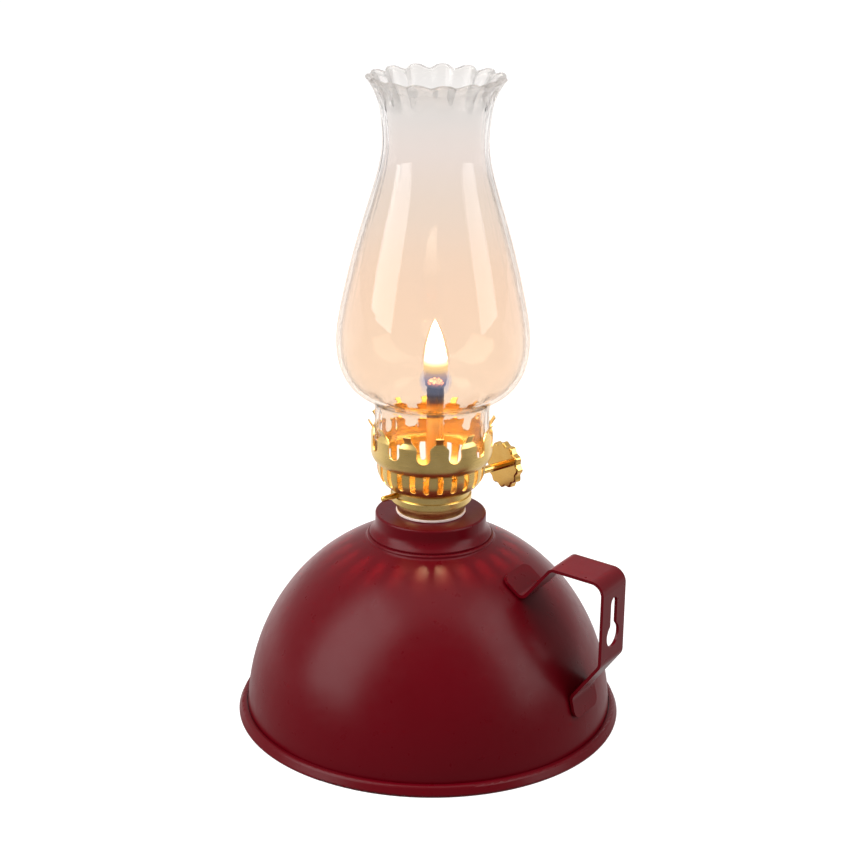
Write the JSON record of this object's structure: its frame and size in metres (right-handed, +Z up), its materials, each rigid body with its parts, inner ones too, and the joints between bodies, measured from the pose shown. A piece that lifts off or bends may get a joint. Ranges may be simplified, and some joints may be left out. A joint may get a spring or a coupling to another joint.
{
  "type": "oil lamp",
  "caption": "Dome-based table and wall oil lamp with a slotted burner, pronged gallery, round wick on a side knob, scalloped glass chimney and a strap handle with a keyhole.",
  "frame": {"origin": "centre of the bottom plate's underside, on the surface the lamp stands on", "axes": "+Z up the lamp's axis, +X towards the handle"},
  "size_m": [0.1554, 0.15, 0.2509],
  "materials": {
    "red_paint": "satin burgundy paint on pressed steel",
    "brass": "satin pressed brass sheet",
    "seal_rubber": "pale soft seal ring",
    "wick_cotton": "braided cotton, charred at the top",
    "clear_glass": "clear blown glass"
  },
  "bodies": {
    "fount": {"fount_shell": "red_paint", "bottom_plate": "red_paint", "neck_cap": "red_paint", "thread_collar": "brass", "handle_strap": "red_paint"},
    "seal": {"burner_gasket": "seal_rubber"},
    "burner": {"burner_base": "brass", "base_ring": "brass", "tube_plate": "brass", "air_basket": "brass", "gallery_crown": "brass", "wick_tube": "brass", "wheel_guard": "brass", "spindle_bushes": "brass"},
    "spindle": {"wick_spindle": "brass", "wick_wheels": "brass", "knob_hub": "brass", "knob_disc": "brass", "knob_rivet": "brass"},
    "wick": {"wick": "wick_cotton"},
    "chimney": {"chimney_glass": "clear_glass"}
  },
  "joints": [
    {"name": "burner_rise", "type": "slide", "parent": "fount", "child": "seal", "axis": [0, 0, 1], "range_m": [0, 0.006]},
    {"name": "burner_turn", "type": "hinge", "parent": "seal", "child": "burner", "pos_m": [0, 0, 0.0841], "axis": [0, 0, 1], "range_deg": [0, 1080]},
    {"name": "knob_turn", "type": "hinge", "parent": "burner", "child": "spindle", "pos_m": [-0.00209, 0.00068, 0.0923], "axis": [-0.309, -0.9511, 0], "range_deg": [-360, 120]},
    {"name": "wick_feed", "type": "slide", "parent": "burner", "child": "wick", "axis": [0, 0, 1], "range_m": [-0.0126, 0.0042]},
    {"name": "chimney_lift", "type": "slide", "parent": "burner", "child": "chimney", "axis": [0, 0, 1], "range_m": [0, 0.05]}
  ],
  "couplings": [
    {"joint": "burner_rise", "follows": "burner_turn", "m_per_rad": 0.00031831},
    {"joint": "wick_feed", "follows": "knob_turn", "m_per_rad": 0.002}
  ]
}
